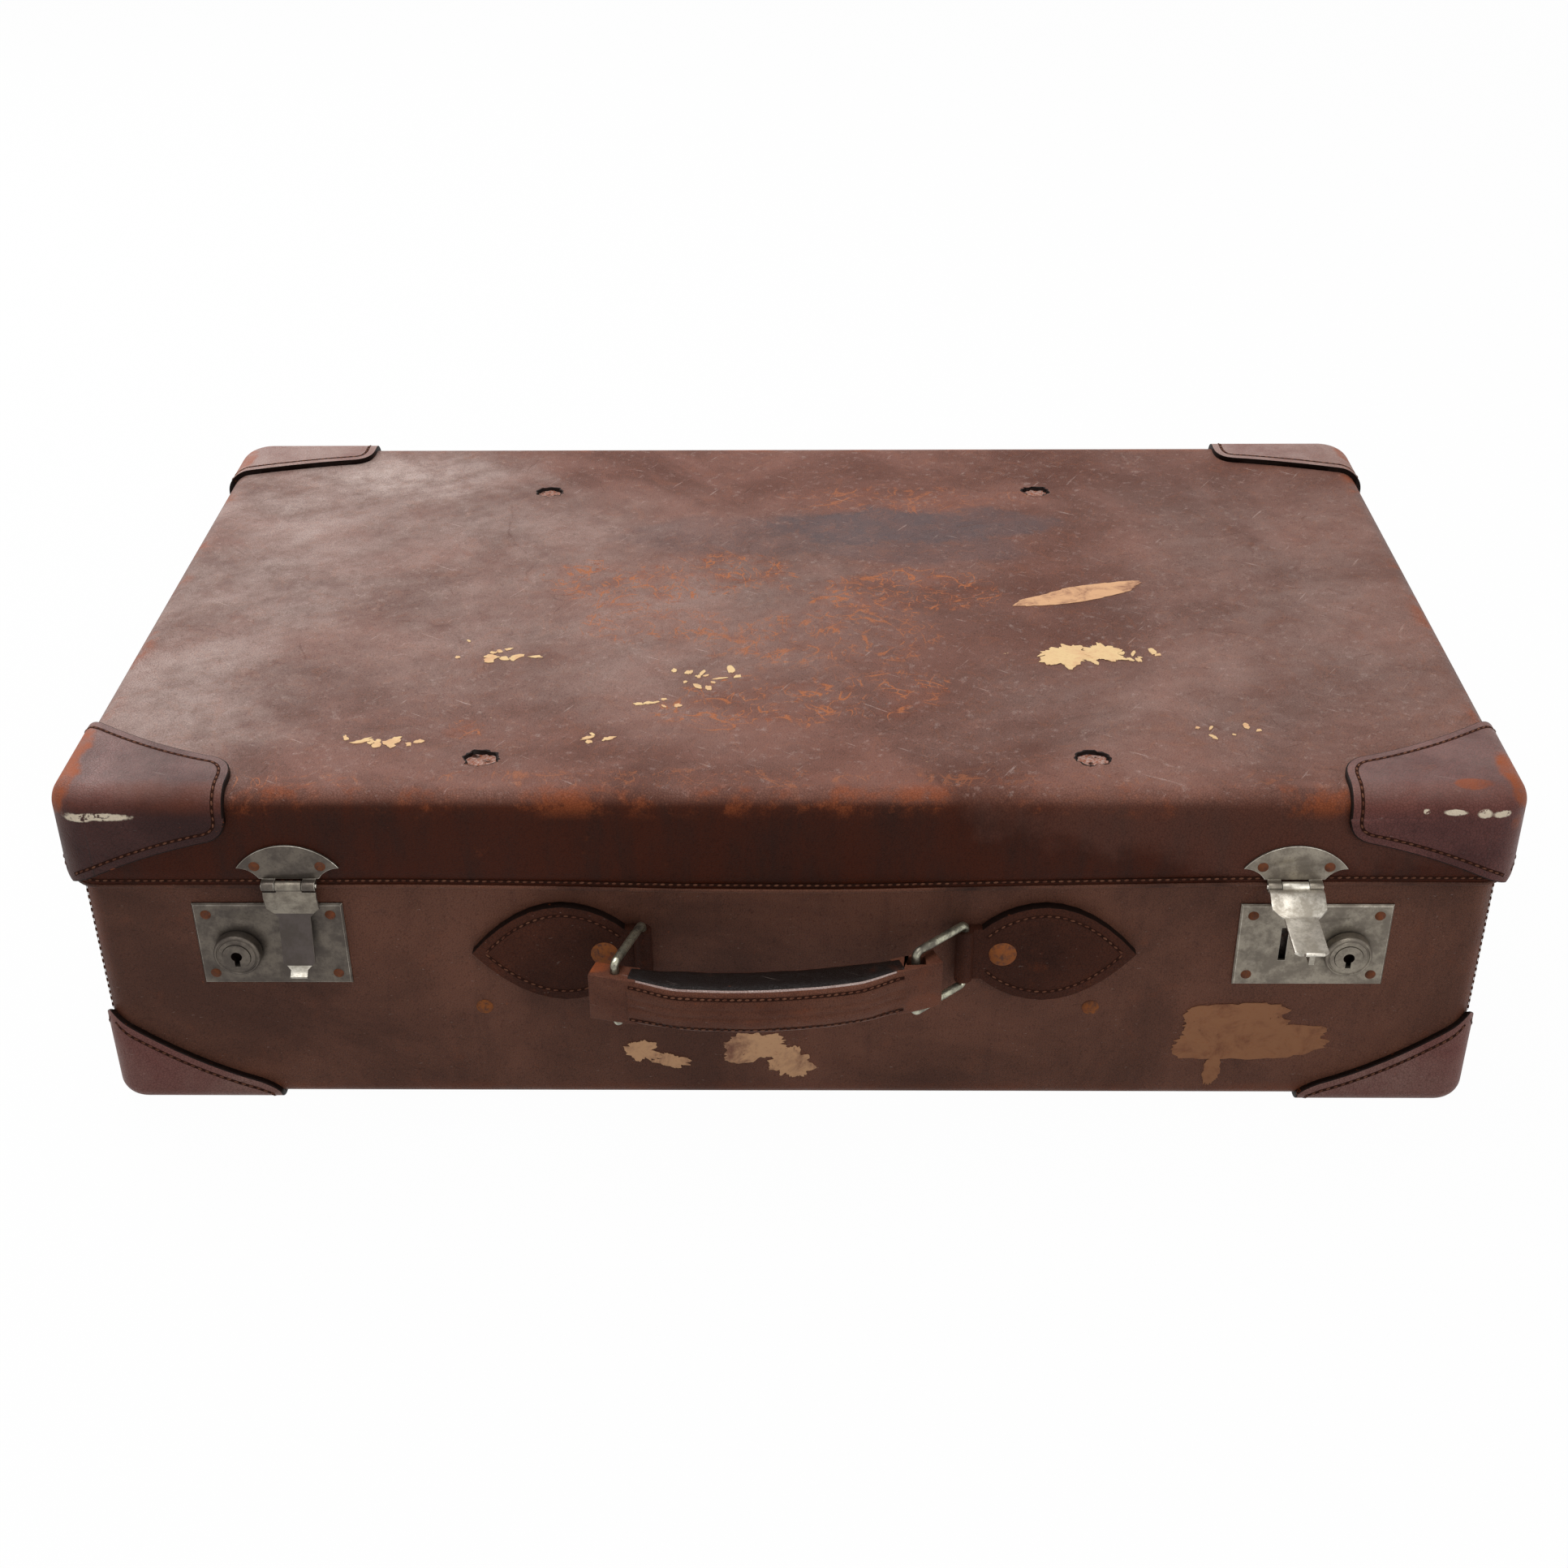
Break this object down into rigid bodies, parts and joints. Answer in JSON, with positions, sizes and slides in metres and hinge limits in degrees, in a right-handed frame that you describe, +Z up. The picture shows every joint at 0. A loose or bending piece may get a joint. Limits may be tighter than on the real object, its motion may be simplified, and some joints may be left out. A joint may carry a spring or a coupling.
{
  "type": "leather suitcase",
  "caption": "Old brown leather suitcase with sewn corner caps, hasp locks with sliding key knobs, a bowed handle on wire loops and a hinged cap lid.",
  "frame": {"origin": "on the surface the case stands on, under the middle of its outer box from the bow of the handle to the rear hinges", "axes": "+X along the length to the right, -Y to the front with the handle and locks, +Z up"},
  "size_m": [0.666, 0.4588, 0.181],
  "materials": {
    "leather_base": "worn satin",
    "leather_lid": "worn matt, scuffed",
    "leather_caps": "worn satin",
    "leather_trim": "worn, glossy on top",
    "lining_cloth": "matt",
    "plated_steel": "dull, pitted",
    "knob_steel": "dull, pitted",
    "rusted_rivets": "rusted",
    "nickel_wire": "dull nickel",
    "rope_core": "matt"
  },
  "bodies": {
    "base": {"base_shell": "leather_base", "base_lining": "lining_cloth", "base_binding": "leather_trim", "base_cap_front_left": "leather_caps", "base_cap_front_right": "leather_caps", "base_cap_rear_left": "leather_caps", "base_cap_rear_right": "leather_caps", "handle_tab_left": "leather_trim", "handle_tab_right": "leather_trim", "tab_rivet_left": "rusted_rivets", "tab_rivet_right": "rusted_rivets", "wall_rivet_left": "rusted_rivets", "wall_rivet_right": "rusted_rivets", "lock_plate_left": "plated_steel", "lock_plate_right": "plated_steel", "lock_case_left": "plated_steel", "lock_case_right": "plated_steel", "lock_rivets_left": "rusted_rivets", "lock_rivets_right": "rusted_rivets", "hinge_base_leaf_left": "plated_steel", "hinge_base_leaf_right": "plated_steel", "hinge_pin_left": "plated_steel", "hinge_pin_right": "plated_steel", "hinge_base_rivets_left": "rusted_rivets", "hinge_base_rivets_right": "rusted_rivets"},
    "lid": {"lid_shell": "leather_lid", "lid_lining": "lining_cloth", "lid_rim_strip": "leather_trim", "lid_cap_front_left": "leather_caps", "lid_cap_front_right": "leather_caps", "lid_cap_rear_left": "leather_caps", "lid_cap_rear_right": "leather_caps", "hasp_plate_left": "plated_steel", "hasp_plate_right": "plated_steel", "hasp_plate_rivets_left": "rusted_rivets", "hasp_plate_rivets_right": "rusted_rivets", "hasp_pin_left": "plated_steel", "hasp_pin_right": "plated_steel", "hinge_lid_leaf_left": "plated_steel", "hinge_lid_leaf_right": "plated_steel", "hinge_lid_rivets_left": "rusted_rivets", "hinge_lid_rivets_right": "rusted_rivets"},
    "hasp_left": {"hasp_left": "plated_steel"},
    "hasp_right": {"hasp_right": "plated_steel"},
    "knob_left": {"lock_knob_left": "knob_steel", "lock_bolt_left": "plated_steel"},
    "knob_right": {"lock_knob_right": "knob_steel", "lock_bolt_right": "plated_steel"},
    "plug_left": {"key_plug_left": "knob_steel"},
    "plug_right": {"key_plug_right": "knob_steel"},
    "loop_left": {"handle_loop_left": "nickel_wire"},
    "loop_right": {"handle_loop_right": "nickel_wire"},
    "handle": {"handle_grip": "leather_trim", "handle_core": "rope_core", "handle_end_left": "leather_trim", "handle_end_right": "leather_trim"}
  },
  "joints": [
    {"name": "lid_open", "type": "hinge", "parent": "base", "child": "lid", "pos_m": [0, 0.22641, 0.127], "axis": [-1, 0, 0], "range_deg": [0, 180]},
    {"name": "hasp_left_lift", "type": "hinge", "parent": "lid", "child": "hasp_left", "pos_m": [-0.22652, -0.18099, 0.1321], "axis": [-1, 0, 0], "range_deg": [-8.5, 156.5]},
    {"name": "hasp_right_lift", "type": "hinge", "parent": "lid", "child": "hasp_right", "pos_m": [0.23052, -0.18099, 0.1321], "axis": [-1, 0, 0], "range_deg": [-88, 77]},
    {"name": "knob_left_slide", "type": "slide", "parent": "base", "child": "knob_left", "axis": [1, 0, 0], "range_m": [0, 0.005]},
    {"name": "plug_left_turn", "type": "hinge", "parent": "knob_left", "child": "plug_left", "pos_m": [-0.25602, -0.18119, 0.09225], "axis": [0, 1, 0], "range_deg": [0, 90]},
    {"name": "knob_right_slide", "type": "slide", "parent": "base", "child": "knob_right", "axis": [-1, 0, 0], "range_m": [0, 0.005]},
    {"name": "plug_right_turn", "type": "hinge", "parent": "knob_right", "child": "plug_right", "pos_m": [0.26002, -0.18119, 0.09225], "axis": [0, 1, 0], "range_deg": [0, 90]},
    {"name": "loop_left_swing", "type": "hinge", "parent": "base", "child": "loop_left", "pos_m": [-0.0665, -0.17809, 0.092], "axis": [0, 0, 1], "range_deg": [0, 66]},
    {"name": "loop_right_swing", "type": "hinge", "parent": "base", "child": "loop_right", "pos_m": [0.0825, -0.17809, 0.092], "axis": [0, 0, 1], "range_deg": [0, 70]},
    {"name": "handle_turn", "type": "hinge", "parent": "loop_left", "child": "handle", "pos_m": [-0.07692, -0.20835, 0.092], "axis": [0, 0, 1], "range_deg": [-73.5, 0]}
  ],
  "couplings": [
    {"joint": "loop_right_swing", "follows": "loop_left_swing", "ratio": 1.06},
    {"joint": "handle_turn", "follows": "loop_left_swing", "ratio": -1.11}
  ]
}
